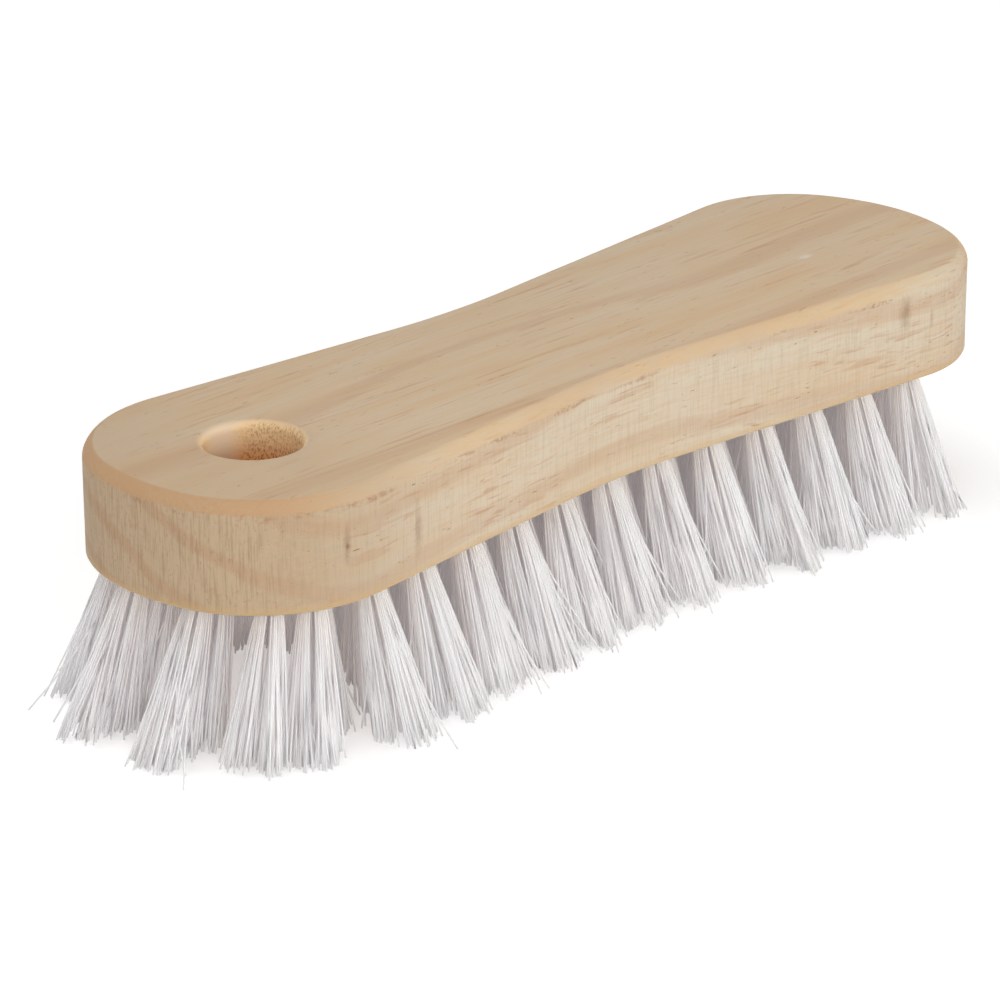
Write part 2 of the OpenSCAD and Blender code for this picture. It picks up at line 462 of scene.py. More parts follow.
@dataclass(frozen=True)
class BareWood:
    """Unvarnished, sanded pale hardwood, with its end grain darker and open.

    Places and sizes are in millimetres.
    """

    pale: tuple = linear(213, 199, 176)
    tan: tuple = linear(210, 178, 140)
    grip_brown_and_shade: tuple = linear(176, 148, 115)
    # Browner wood towards the grip's end, with painted shade of the light falling off there.
    grain: tuple = linear(186, 142, 108)
    end_grain: tuple = linear(203, 178, 147)
    end_line: tuple = linear(150, 122, 92)
    edge: tuple = linear(217, 184, 140)
    edge_dark: tuple = linear(192, 150, 110)
    crease_line: tuple = linear(158, 108, 72)
    under_edge: tuple = linear(206, 172, 120)
    pore: tuple = linear(132, 92, 60)
    # The hole wall's colours are paler than the outer wood, as painted light against the shade
    # inside the hole; the deep colour is painted shade.
    bore: tuple = linear(248, 214, 164)
    bore_smooth_painted_light: tuple = linear(242, 218, 186)
    bore_deep_painted_shade: tuple = linear(232, 160, 98)
    bore_pore: tuple = linear(128, 72, 34)
    smudge: tuple = linear(138, 108, 80)
    scuff: tuple = linear(222, 210, 200)
    pith_away: float = 90.0
    pith_angle: float = -51.0
    ring_width: float = 12.5
    ring_warp: float = 9.0
    flame_x: float = -14.0
    flame_size: tuple = (62.0, 15.0)
    flame_height: float = 8.0
    # Share of tan on the top face, which paints shade there.
    top_painted_shade: float = 0.42
    grip_brown_and_shade_reach: float = 64.0
    long_lines: tuple = ((44.0, 1.7, 0.34), (17.0, 0.85, 0.5))
    worn_edge: tuple = (8.0, 46.0)
    bore_shade: tuple = (9.0, 3.0)
    roughness: float = 0.62
    relief: float = 0.12 * MM

    def build(self, effects: SharedEffects, hole: "HangingHole",
              outline: "BlockOutline") -> bpy.types.Material:
        """Builds the wood's material.

        Args:
            effects: The shared node groups.
            hole: The hanging hole, whose wall shows torn end grain.
            outline: The block's outline, for the places of its middle and of the grip's end.

        Returns:
            The material.
        """
        material, sheet, shader = new_material("bare sanded wood")
        face = WoodFace.read(sheet, effects, hole, outline)
        colour, fine = self._ground(face)
        rings = sheet.times(self._rings(face), sheet.step(face.end, 0.0, 1.0, 0.26, 0.4))
        colour = sheet.blend(rings, colour, self.grain)
        pores = self._pores(face)
        colour = sheet.blend(pores, colour, self.pore)
        for layer in (self._sanding, self._edges, self._smudges):
            colour = layer(face, colour)
        torn, wall_colour = self._torn_wall(face)
        in_bore = self._in_bore(face)
        sheet.plug(sheet.blend(in_bore, colour, wall_colour), shader.inputs["Base Color"])

        sheet.plug(sheet.math("MULTIPLY_ADD", fine, 0.1, self.roughness),
                   shader.inputs["Roughness"])
        height = sheet.math("ADD", sheet.times(fine, 0.3), sheet.times(pores, -1.0))
        height = sheet.math("ADD", height, sheet.times(torn, in_bore))
        bump = sheet.add("ShaderNodeBump")
        bump.inputs["Strength"].default_value = 0.5
        bump.inputs["Distance"].default_value = self.relief
        sheet.plug(height, bump.inputs["Height"])
        sheet.plug(bump.outputs[0], shader.inputs["Normal"])
        shader.inputs["Specular IOR Level"].default_value = 0.3
        return material

    def _ground(self, face: WoodFace) -> tuple[bpy.types.NodeSocket, bpy.types.NodeSocket]:
        """Draws the broad tone of the wood and its long grain lines. The top face is drawn darker
        and tanner as painted shade, and the wood towards the grip's end is browner, with painted
        shade of the light falling off there.

        Args:
            face: Readings at the point.

        Returns:
            The colour, and the mask of the finest lines.
        """
        sheet = face.sheet
        tone = face.patches(8.0, 0.34, 0.74, shorten=0.12)
        # Painted shade: the top face is drawn darker and tanner than the sides.
        top_shade_share = sheet.step(face.upward, 0.8, 0.99, 0.0, self.top_painted_shade)
        tone_and_top_shade = sheet.math("ADD", sheet.times(tone, 0.5), top_shade_share, clamp=True)
        colour = sheet.blend(tone_and_top_shade, self.pale, self.tan)
        # Browner towards the grip's end, with painted shade where the light falls off; less of it
        # on the top.
        grip_brown_and_shade_share = sheet.step(face.x, face.grip, face.grip + self.grip_brown_and_shade_reach, 0.8, 0.0)
        less_on_top = sheet.step(top_shade_share, 0.0, self.top_painted_shade, 1.0, 0.4)
        colour = sheet.blend(sheet.times(grip_brown_and_shade_share, less_on_top), colour, self.grip_brown_and_shade)
        colour = sheet.blend(sheet.times(face.end, 0.62), colour, self.end_grain)
        fine = face.streaks(26.0, 0.6, 0.42, 0.66)
        colour = sheet.blend(sheet.times(fine, 0.3), colour, self.tan)
        here = face.patches(14.0, 0.4, 0.58, shorten=0.5)
        for length, width, strength in self.long_lines:
            lines = face.streaks(length, width, 0.58, 0.7)
            colour = sheet.blend(sheet.times(lines, here, strength), colour, self.grain)
        return colour, fine

    def _pores(self, face: WoodFace) -> bpy.types.NodeSocket:
        """Masks the pores: dashes along the grain, and upright specks on the end grain."""
        sheet = face.sheet
        dashes = face.streaks(2.8, 0.34, 0.63, 0.75)
        chains = sheet.step(face.streaks(26.0, 1.6, 0.5, 0.66), 0.0, 1.0, 0.06, 0.75)
        specks = sheet.step(face.noise((0.5, 3.2, 0.6), 2.0, 0.6), 0.56, 0.78, 0.0, 0.36)
        return sheet.math("MAXIMUM", sheet.times(dashes, chains), sheet.times(specks, face.end))

    def _sanding(self, face: WoodFace, colour: bpy.types.NodeSocket) -> bpy.types.NodeSocket:
        """Draws the fine upright lines that the sanding belt left, clearest on the end grain.

        Args:
            face: Readings at the point.
            colour: The colour so far.

        Returns:
            The colour with the lines.
        """
        sheet = face.sheet
        upright = sheet.step(sheet.math("ABSOLUTE", face.upward), 0.1, 0.5, 1.0, 0.0)
        lines = sheet.step(face.noise((2.6, 2.6, 0.14), 2.0, 0.6), 0.42, 0.72)
        share = sheet.times(lines, sheet.step(face.end, 0.0, 1.0, 0.16, 0.5), upright)
        return sheet.blend(share, colour, self.end_line)

    def _edges(self, face: WoodFace, colour: bpy.types.NodeSocket) -> bpy.types.NodeSocket:
        """Burnishes the softened top edge and the sharp lower edge, and draws a dark broken line
        along the crease under the top edge.

        Args:
            face: Readings at the point.
            colour: The colour so far.

        Returns:
            The colour with both edges.
        """
        sheet, top, under = face.sheet, face.top, face.hole.under * TO_MM
        upper = sheet.times(sheet.step(face.upward, 0.1, 0.36),
                            sheet.step(face.upward, 0.88, 0.97, 1.0, 0.0),
                            sheet.step(face.z, top - 6, top - 4))
        wear = sheet.step(face.patches(13.0, 0.34, 0.62, shorten=0.4), 0.0, 1.0, 0.1, 0.72)
        near, far = self.worn_edge
        at_grip = sheet.step(face.x, face.grip + near, face.grip + far, 1.0, 0.0)
        speckle = face.noise((0.9, 1.6, 1.6), 3.0, 0.7)
        share = sheet.times(sheet.math("MAXIMUM", wear, at_grip),
                            sheet.step(speckle, 0.3, 0.6, 0.55, 0.95))
        tint = sheet.blend(sheet.times(at_grip, 0.85), self.edge, self.edge_dark)
        colour = sheet.blend(sheet.times(upper, share), colour, tint)
        # A dark broken line along the crease under the top edge.
        crease_line = sheet.times(sheet.step(face.z, top - 3.9, top - 3.2),
                           sheet.step(face.z, top - 2.9, top - 2.1, 1.0, 0.0),
                           face.streaks(16.0, 2.4, 0.5, 0.64),
                           sheet.step(speckle, 0.4, 0.62), 0.55)
        colour = sheet.blend(crease_line, colour, self.crease_line)
        lower = sheet.step(face.z, under + 0.5, under + 2.6, 0.5, 0.0)
        return sheet.blend(lower, colour, self.under_edge)

    def _smudges(self, face: WoodFace, colour: bpy.types.NodeSocket) -> bpy.types.NodeSocket:
        """Adds the block's own rub marks and small specks of dirt.

        Args:
            face: Readings at the point.
            colour: The colour so far.

        Returns:
            The colour with the marks.
        """
        sheet = face.sheet
        ragged = sheet.times(face.noise((1.9, 1.9, 0.5), 3.0, 0.65), 0.9)
        for mark in RUB_MARKS:
            offset = sheet.add("ShaderNodeVectorMath", operation="SUBTRACT")
            sheet.plug(face.place, offset.inputs[0])
            sheet.plug((mark.x + face.middle, mark.y, mark.z), offset.inputs[1])
            away = sheet.length(sheet.scaled(offset.outputs[0],
                                             tuple(1 / size for size in mark.reach)))
            share = sheet.step(sheet.math("ADD", away, ragged), 0.45, 1.35, mark.strength, 0.0)
            colour = sheet.blend(share, colour, self.scuff if mark.pale else self.smudge)
        specks = face.patches(1.3, 0.74, 0.79)
        return sheet.blend(sheet.times(specks, 0.7), colour, self.pore)

    def _rings(self, face: WoodFace) -> bpy.types.NodeSocket:
        """Draws growth rings round a far-off pith, with a flame where they dip under the top.

        Args:
            face: Readings at the point.

        Returns:
            Mask of the darker late wood.
        """
        sheet = face.sheet
        warp = face.noise((0.006, 0.04, 0.04), 2.0, 0.5)
        turn = math.radians(self.pith_angle)
        off_y = sheet.math("SUBTRACT", face.y, self.pith_away * math.cos(turn))
        off_z = sheet.math("SUBTRACT", face.z, self.pith_away * math.sin(turn))
        radius = sheet.length(sheet.joined(0.0, off_y, off_z))
        radius = sheet.math("ADD", radius, sheet.times(warp, self.ring_warp))
        along = sheet.math("SUBTRACT", face.x, face.middle + self.flame_x)
        away = sheet.length(sheet.scaled(sheet.joined(along, face.y, 0.0),
                                         (1 / self.flame_size[0], 1 / self.flame_size[1], 0.0)))
        flame = sheet.step(away, 0.0, 1.0, self.flame_height, 0.0)
        radius = sheet.math("ADD", radius, flame)
        wave = sheet.math("SINE", sheet.times(radius, math.tau / self.ring_width))
        return sheet.step(wave, 0.45, 1.0)

    @staticmethod
    def _in_bore(face: WoodFace) -> bpy.types.NodeSocket:
        """Masks the hanging hole's wall: 1 on its straight stretch, fading out over the rim."""
        sheet, hole = face.sheet, face.hole
        off = sheet.math("SUBTRACT", face.x, hole.x * TO_MM)
        wall = hole.radius * TO_MM
        return sheet.step(sheet.length(sheet.joined(off, face.y, 0.0)), wall + 0.15,
                          wall + hole.rim * TO_MM * 0.8, 1.0, 0.0)

    def _torn_wall(self, face: WoodFace) -> tuple[bpy.types.NodeSocket, bpy.types.NodeSocket]:
        """Colours the hole's wall: torn pores across the grain, smooth along it. It is paler than
        the wood outside, as painted light against the shade in the hole, and darker deeper down,
        as painted shade.

        Args:
            face: Readings at the point.

        Returns:
            Height of the torn pores, and the wall's colour.
        """
        sheet = face.sheet
        deep, shallow = self.bore_shade
        # Painted shade: the wall turns darker and browner deeper in the hole.
        depth = sheet.step(face.z, face.top - deep, face.top - shallow, 1.0, 0.0)
        colour = sheet.blend(sheet.times(depth, 0.85), self.bore, self.bore_deep_painted_shade)
        torn = sheet.times(sheet.step(face.noise((1.5, 3.0, 1.5), 3.0, 0.7), 0.47, 0.62),
                           sheet.step(face.across, 0.3, 0.75))
        # The pores are real; drawing them darker deeper down is painted shade.
        dark = sheet.times(torn, sheet.step(depth, 0.0, 1.0, 0.4, 0.85))
        colour = sheet.blend(dark, colour, self.bore_pore)
        # The smooth stretch is painted lighter near the rim and darker deeper down.
        smooth = sheet.blend(sheet.times(depth, 0.6), self.bore_smooth_painted_light, self.edge_dark)
        colour = sheet.blend(sheet.step(face.across, 0.15, 0.55), smooth, colour)
        return sheet.times(torn, -1.2), colour


@dataclass(frozen=True)
class WhiteBristle:
    """White synthetic filament, half clear, a little soiled at the root, with painted shade near
    the root as well.

    Such filaments soak up next to no light, and they carry it along their length, so the gaps
    between the tufts stay pale. The base colours are therefore close to white, and a faint even
    painted glow, self-lit light that no lamp gives, brightens the shaded gaps in place of the
    light that the filaments carry inside.
    """

    bright: tuple = linear(254, 254, 254)
    shade: tuple = linear(250, 249, 250)
    blush: tuple = linear(250, 243, 241)
    # Darker near the roots: soil, with painted shade under the block.
    root: tuple = linear(244, 235, 228)
    # A faint even painted glow, self-lit light that no lamp gives, which brightens the shaded
    # gaps.
    painted_glow: tuple = linear(250, 247, 250)
    painted_glow_strength: float = 0.026
    roughness: float = 0.38
    light_reach: float = 1.2 * MM

    def build(self, effects: SharedEffects) -> bpy.types.Material:
        """Builds the filament's material.

        Args:
            effects: The shared node groups.

        Returns:
            The material.
        """
        material, sheet, shader = new_material("white bristle")
        tone = sheet.add("ShaderNodeAttribute", attribute_name=Attribute.TONE.value)
        along = sheet.add("ShaderNodeAttribute", attribute_name=Attribute.ALONG.value)
        colour = sheet.blend(tone.outputs["Fac"], self.shade, self.bright)
        odd = sheet.math("FRACT", sheet.times(tone.outputs["Fac"], 7.3))
        colour = sheet.blend(sheet.step(odd, 0.7, 0.9, 0.0, 0.7), colour, self.blush)
        # Painted shade with some soil: filaments drawn darker near their roots, under the block.
        root_shade_and_soil_share = sheet.step(along.outputs["Fac"], 0.0, 0.4, 0.45, 0.0)
        colour = sheet.blend(root_shade_and_soil_share, colour, self.root)
        soil = sheet.use(effects.blotches, Position=place_in_mm(sheet), Size=11.0, From=0.55,
                         To=0.78)
        colour = sheet.blend(sheet.times(soil, 0.25), colour, self.root)
        sheet.plug(colour, shader.inputs["Base Color"])
        rough = sheet.math("MULTIPLY_ADD", tone.outputs["Fac"], 0.16, self.roughness)
        sheet.plug(rough, shader.inputs["Roughness"])
        for name, value in (("Specular IOR Level", 0.45), ("Subsurface Weight", 1.0),
                            ("Subsurface Radius", (1.0, 1.0, 1.0)),
                            ("Subsurface Scale", self.light_reach),
                            # Painted glow: an even self-lit light on the filaments that brightens
                            # the shaded gaps.
                            ("Emission Color", self.painted_glow),
                            ("Emission Strength", self.painted_glow_strength)):
            shader.inputs[name].default_value = value
        return material


@dataclass(frozen=True)
class DrawnWire:
    """Flat drawn steel, dull, with fine lines and a little rust bloom."""

    steel: tuple = linear(186, 186, 190)
    rust: tuple = linear(140, 98, 70)

    def build(self, effects: SharedEffects) -> bpy.types.Material:
        """Builds the wire's material.

        Args:
            effects: The shared node groups.

        Returns:
            The material.
        """
        material, sheet, shader = new_material("flat drawn steel wire")
        place = place_in_mm(sheet)
        bloom = sheet.use(effects.blotches, Position=place, Size=1.6, From=0.6, To=0.75)
        lines = sheet.use(effects.streaks, Position=place, Length=2.0, Width=0.06, From=0.4,
                          To=0.6)
        colour = sheet.blend(sheet.times(bloom, 0.35), self.steel, self.rust)
        sheet.plug(colour, shader.inputs["Base Color"])
        sheet.plug(sheet.step(bloom, 0.0, 1.0, 1.0, 0.4), shader.inputs["Metallic"])
        sheet.plug(sheet.step(lines, 0.0, 1.0, 0.3, 0.48), shader.inputs["Roughness"])
        return material


@dataclass(frozen=True)
class PaleFloor:
    """White paper floor that shows white to the camera and keeps a soft shadow."""

    colour: tuple = linear(248, 248, 248)
    mottle: tuple = linear(236, 236, 236)
    lift: float = 0.34

    def build(self, effects: SharedEffects) -> bpy.types.Material:
        """Builds the floor's material.

        Args:
            effects: The shared node groups.

        Returns:
            The material.
        """
        material, sheet, shader = new_material("white paper floor")
        mottle = sheet.use(effects.blotches, Position=place_in_mm(sheet), Size=90.0, From=0.3,
                           To=0.9)
        sheet.plug(sheet.blend(sheet.times(mottle, 0.02), self.colour, self.mottle),
                   shader.inputs["Base Color"])
        shader.inputs["Roughness"].default_value = 0.9
        shader.inputs["Specular IOR Level"].default_value = 0.1
        shader.inputs["Emission Color"].default_value = WHITE
        sheet.plug(sheet.times(sheet.seen_white(), self.lift),
                   shader.inputs["Emission Strength"])
        return material


@dataclass(frozen=True)
class HangingHole:
    """The round hole through the grip, in metres."""

    x: float
    radius: float
    rim: float
    top: float
    under: float

    @classmethod
    def from_record(cls, record: dict, block_low: Vector, block_high: Vector) -> "HangingHole":
        """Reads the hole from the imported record's mount.

        Args:
            record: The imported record.
            block_low: Lowest corner of the wood block.
            block_high: Highest corner of the wood block.

        Returns:
            The hole.
        """
        mount = next(m for m in record["mounts"] if m["name"] == "hanging_hole")
        length = mount["dims"]["length_mm"] * MM
        rim = (block_high.z - block_low.z - length) / 2
        return cls(mount["pos_m"][0], mount["dims"]["r_mm"] * MM, rim, block_high.z,
                   block_low.z)

    def profile(self, steps: int, overrun: float) -> list[tuple[float, float]]:
        """Gives the cutter's outline from its top down, as radius and height.

        Args:
            steps: Steps in the quarter turn of each rim.
            overrun: How far the cutter reaches past both faces.

        Returns:
            Points of the outline.
        """
        turns = [math.pi / 2 * i / steps for i in range(steps + 1)]
        widest = self.radius + self.rim
        upper = [(widest - self.rim * math.sin(t), self.top - self.rim * (1 - math.cos(t)))
                 for t in turns]
        lower = [(radius, self.under + self.top - z) for radius, z in reversed(upper)]
        return [(widest, self.top + overrun), *upper, *lower, (widest, self.under - overrun)]


@dataclass(frozen=True)
class BlockOutline:
    """The block seen from above, as arcs of real radii, in metres."""

    length: float
    centre_x: float
    grip_width: float = 66 * MM
    waist_width: float = 52 * MM
    head_width: float = 67 * MM
    grip_end_radius: float = 47.5 * MM
    grip_shoulder_radius: float = 29 * MM
    head_end_radius: float = 42.5 * MM
    head_shoulder_radius: float = 27 * MM
    waist_radius: float = 170 * MM
    waist_shift: float = 4 * MM
    arc_steps: int = 28
    straight_steps: int = 10

    @property
    def grip_end(self) -> float:
        """Place of the grip's end along X."""
        return self.centre_x - self.length / 2

    def _shoulder(self, side: int, width: float, end_radius: float,
                  radius: float) -> np.ndarray:
        """Finds a shoulder arc's centre, where it touches its blunt end's arc from inside.

        Args:
            side: -1 for the grip and 1 for the head.
            width: Full width at that end.
            end_radius: Radius of the blunt end.
            radius: Radius of the shoulder.

        Returns:
            The centre, as X and Y.
        """
        y = width / 2 - radius
        reach = math.sqrt((end_radius - radius) ** 2 - y ** 2)
        return np.array([side * (self.length / 2 - end_radius + reach), y])

    def _tangent_angle(self, shoulder: np.ndarray, radius: float, side: int) -> float:
        """Finds where a shoulder runs into the straight stretch towards the waist.

        Args:
            shoulder: Centre of the shoulder's arc.
            radius: Radius of the shoulder.
            side: -1 for the grip and 1 for the head.

        Returns:
            Direction of that point from the shoulder's centre, in radians.
        """
        to = self._waist() - shoulder
        share = min(1.0, (radius + self.waist_radius) / float(np.hypot(*to)))
        return math.atan2(to[1], to[0]) - side * math.acos(share)

    def _waist(self) -> np.ndarray:
        """Gives the centre of the waist's hollow arc."""
        return np.array([-self.waist_shift, self.waist_width / 2 + self.waist_radius])

    def half(self, inset: float) -> np.ndarray:
        """Draws the +Y half, from the grip's tip to the head's tip.

        Args:
            inset: How far the outline is drawn in.

        Returns:
            Points as rows of X and Y.
        """
        grip = self._shoulder(-1, self.grip_width, self.grip_end_radius,
                              self.grip_shoulder_radius)
        head = self._shoulder(1, self.head_width, self.head_end_radius,
                              self.head_shoulder_radius)
        grip_end = np.array([-self.length / 2 + self.grip_end_radius, 0])
        head_end = np.array([self.length / 2 - self.head_end_radius, 0])
        grip_turn = math.atan2(*(grip - grip_end)[::-1])
        head_turn = math.atan2(*(head - head_end)[::-1])
        grip_line = self._tangent_angle(grip, self.grip_shoulder_radius, -1)
        head_line = self._tangent_angle(head, self.head_shoulder_radius, 1)
        waist = self._arc(self._waist(), self.waist_radius + inset, grip_line + math.pi,
                          head_line + math.pi)
        grip_arc = self._arc(grip, self.grip_shoulder_radius - inset, grip_turn, grip_line)
        head_arc = self._arc(head, self.head_shoulder_radius - inset, head_line, head_turn)
        stretches = [
            self._arc(grip_end, self.grip_end_radius - inset, math.pi, grip_turn),
            grip_arc[1:],
            self._line(grip_arc[-1], waist[0]),
            waist,
            self._line(waist[-1], head_arc[0]),
            head_arc,
            self._arc(head_end, self.head_end_radius - inset, head_turn, 0)[1:]]
        return np.concatenate(stretches)

    def ring(self, inset: float) -> np.ndarray:
        """Draws the whole closed outline, clockwise seen from above.

        Args:
            inset: How far the outline is drawn in.

        Returns:
            Points as rows of X and Y about the block's own middle, with the first not repeated.
        """
        half = self.half(inset)
        back = half[-2:0:-1] * np.array([1, -1])
        return np.concatenate([half, back])

    def _arc(self, centre: np.ndarray, radius: float, start: float, end: float) -> np.ndarray:
        """Draws an arc in even steps."""
        turns = np.linspace(start, end, self.arc_steps + 1)
        return centre + radius * np.stack([np.cos(turns), np.sin(turns)], 1)

    def _line(self, start: np.ndarray, end: np.ndarray) -> np.ndarray:
        """Draws the points inside a straight stretch."""
        shares = np.linspace(0, 1, self.straight_steps + 2)[1:-1, None]
        return start + (end - start) * shares


@dataclass(frozen=True)
class TuftSeat:
    """One drilled tuft hole and its anchor, in metres."""

    mouth: Vector
    up: Vector
    along_wire: Vector
    fold_height: float

    @property
    def across_wire(self) -> Vector:
        """Direction square to the wire's flat sides."""
        return self.up.cross(self.along_wire).normalized()


@dataclass
class WireAnchors:
    """The flat wires that hold the tufts, kept as the CAD made them."""

    node: bpy.types.Object
    under: float
    corners_per_wire: int = 8

    def dress(self, material: bpy.types.Material) -> None:
        """Gives the wires their finish."""
        self.node.data.materials.clear()
        self.node.data.materials.append(material)

    def seats(self) -> list[TuftSeat]:
        """Reads each tuft hole's place and slant from its wire.

        Returns:
            One seat for each wire, from the grip's end to the head's end.
        """
        points = np.array([v.co for v in self.node.data.vertices], float)
        points = np.unique(np.round(points, 7), axis=0)
        seats = [self._seat(cluster) for cluster in self._clusters(points)]
        return sorted(seats, key=lambda seat: (round(seat.mouth.x, 4), seat.mouth.y))

    def _clusters(self, points: np.ndarray) -> list[np.ndarray]:
        """Sorts the corners into wires.

        Args:
            points: Corners of all the wires.

        Returns:
            The eight corners of each wire.
        """
        left = list(range(len(points)))
        wires = []
        while left:
            away = np.linalg.norm(points[left] - points[left[0]], axis=1)
            nearest = np.argsort(away)[:self.corners_per_wire]
            members = [left[i] for i in nearest]
            wires.append(points[members])
            left = [i for i in left if i not in members]
        return wires

    def _seat(self, corners: np.ndarray) -> TuftSeat:
        """Works out one seat from a wire's corners.

        Args:
            corners: The wire's eight corners.

        Returns:
            The seat.
        """
        centre = corners.mean(0)
        _, sizes, axes = np.linalg.svd(corners - centre)
        along, up = Vector(axes[0]), Vector(axes[1])
        up = up if up.z > 0 else -up
        half_width = sizes[1] / math.sqrt(self.corners_per_wire)
        middle = Vector(centre)
        mouth = middle - up * ((middle.z - self.under) / up.z)
        return TuftSeat(mouth, up, along, (middle - mouth).length + half_width)


def mesh_object(name: str, points: np.ndarray, faces: list) -> bpy.types.Object:
    """Makes a mesh object from points and faces.

    Args:
        name: The object's name.
        points: Rows of X, Y and Z, in metres.
        faces: Point numbers of each face.

    Returns:
        The object, linked to the scene.
    """
    mesh = bpy.data.meshes.new(name)
    mesh.from_pydata(points.tolist(), [], faces)
    mesh.update()
    piece = bpy.data.objects.new(name, mesh)
    bpy.context.scene.collection.objects.link(piece)
    return piece


def ring_faces(first: int, rings: int, sides: int) -> list[list[int]]:
    """Joins rings of points to a closed solid with a cap on each end.

    Args:
        first: Number of the first ring's first point.
        rings: Number of rings.
        sides: Points in each ring.

    Returns:
        Point numbers of each face.
    """
    faces = []
    for level in range(rings - 1):
        low = first + level * sides
        for i in range(sides):
            after = (i + 1) % sides
            faces.append([low + i, low + i + sides, low + after + sides, low + after])
    last = first + (rings - 1) * sides
    faces.append(list(range(first, first + sides)))
    faces.append(list(range(last + sides - 1, last - 1, -1)))
    return faces


@dataclass
class WoodBlock:
    """The wooden stock, with its hanging hole and its drilled tuft holes."""

    outline: BlockOutline
    hole: HangingHole
    seats: list
    tuft_hole_radius: float = 2.4 * MM
    tuft_hole_depth: float = 13 * MM
    top_edge_in: float = 2.4 * MM
    top_edge_down: float = 3 * MM
    top_edge_power: float = 1.55
    under_edge: float = 0.8 * MM
    under_knee: float = 0.35
    edge_steps: int = 8
    side_levels: int = 6
    hand_sanding: float = 0.12 * MM
    overrun: float = 2 * MM
    hole_sides: int = 28
    bore_sides: int = 120
    rim_steps: int = 8
    crease_angle: float = 24.0

    def build(self) -> bpy.types.Object:
        """Builds the block's closed mesh.

        Returns:
            The block.
        """
        block = self._body()
        cutter = self._cutter()
        change = block.modifiers.new("holes", "BOOLEAN")
        change.operation, change.solver, change.object = "DIFFERENCE", "EXACT", cutter
        view = bpy.context.evaluated_depsgraph_get()
        cut = bpy.data.meshes.new_from_object(block.evaluated_get(view))
        block.modifiers.clear()
        block.data = cut
        bpy.data.objects.remove(cutter)
        cut.shade_smooth()
        cut.set_sharp_from_angle(angle=math.radians(self.crease_angle))
        return block

    def dress(self, block: bpy.types.Object, material: bpy.types.Material) -> None:
        """Gives the block its finish and its place in the frame."""
        block.data.materials.clear()
        block.data.materials.append(material)
        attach(block, ROOT_BODY)
        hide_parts("wood_block")

    def _levels(self) -> list[tuple[float, float]]:
        """Gives the side's profile from the underside up, as inset and height.

        Returns:
            Inset and height of each ring.
        """
        under, top = self.hole.under, self.hole.top
        knee, side = self.under_edge * self.under_knee, under + self.under_edge
        shoulder = top - self.top_edge_down
        levels = [(self.under_edge, under), (knee, under + knee), (0.0, side)]
        for i in range(1, self.side_levels):
            levels.append((0.0, side + (shoulder - side) * i / self.side_levels))
        for i in range(self.edge_steps + 1):
            turn = math.pi / 2 * i / self.edge_steps
            inset = self.top_edge_in * (1 - math.cos(turn) ** (2 / self.top_edge_power))
            height = self.top_edge_down * math.sin(turn) ** (2 / self.top_edge_power)
            levels.append((inset, shoulder + height))
        return levels

    def _body(self) -> bpy.types.Object:
        """Builds the block before it is drilled.

        Returns:
            The undrilled block.
        """
        rings = []
        for inset, z in self._levels():
            flat = self.outline.ring(inset)
            wave = self._sanding(flat, z)
            shrink = 1 - wave / np.linalg.norm(flat, axis=1)
            flat = flat * shrink[:, None] + np.array([self.outline.centre_x, 0])
            rings.append(np.column_stack([flat, np.full(len(flat), z)]))
        faces = ring_faces(0, len(rings), len(rings[0]))
        return mesh_object("block_of_wood", np.concatenate(rings), faces)

    def _sanding(self, flat: np.ndarray, z: float) -> np.ndarray:
        """Works out how far hand sanding has drawn the side in.

        Args:
            flat: Points of a ring.
            z: The ring's height.

        Returns:
            Depth at each point, never below zero.
        """
        x, y = flat[:, 0] * TO_MM, flat[:, 1] * TO_MM
        rise = z * TO_MM
        wave = np.sin(0.11 * x + 0.9) + np.sin(0.23 * x - 0.17 * y + 0.3 * rise)
        wave += np.sin(0.31 * y + 0.13 * x - 0.21 * rise)
        return self.hand_sanding * (3 + wave) / 6

    def _cutter(self) -> bpy.types.Object:
        """Builds everything that drilling takes away.

        Returns:
            The cutter.
        """
        points, faces = [], []
        rows = self.hole.profile(self.rim_steps, self.overrun)
        centre = Vector((self.hole.x, 0, 0))
        self._turned(points, faces, rows, centre, Vector((0, 0, 1)), self.bore_sides)
        drill = [(self.tuft_hole_radius, self.tuft_hole_depth),
                 (self.tuft_hole_radius, -self.overrun)]
        for seat in self.seats:
            self._turned(points, faces, drill, seat.mouth, seat.up, self.hole_sides)
        cutter = mesh_object("drills", np.array(points), faces)
        cutter.hide_render = True
        return cutter

    @staticmethod
    def _turned(points: list, faces: list, rows: list, origin: Vector, axis: Vector,
                sides: int) -> None:
        """Adds a closed turned solid.

        Args:
            points: Points so far, which grows.
            faces: Faces so far, which grows.
            rows: Radius and height of each ring, from the top down.
            origin: Foot of the axis.
            axis: Direction of the axis.
            sides: Number of sides round it.
        """
        first = len(points)
        aside = axis.cross(Vector((0, 1, 0))).normalized()
        other = axis.cross(aside)
        for radius, height in rows:
            for i in range(sides):
                turn = math.tau * i / sides
                spoke = aside * math.cos(turn) + other * math.sin(turn)
                points.append(tuple(origin + axis * height + spoke * radius))
        faces.extend(ring_faces(first, len(rows), sides))


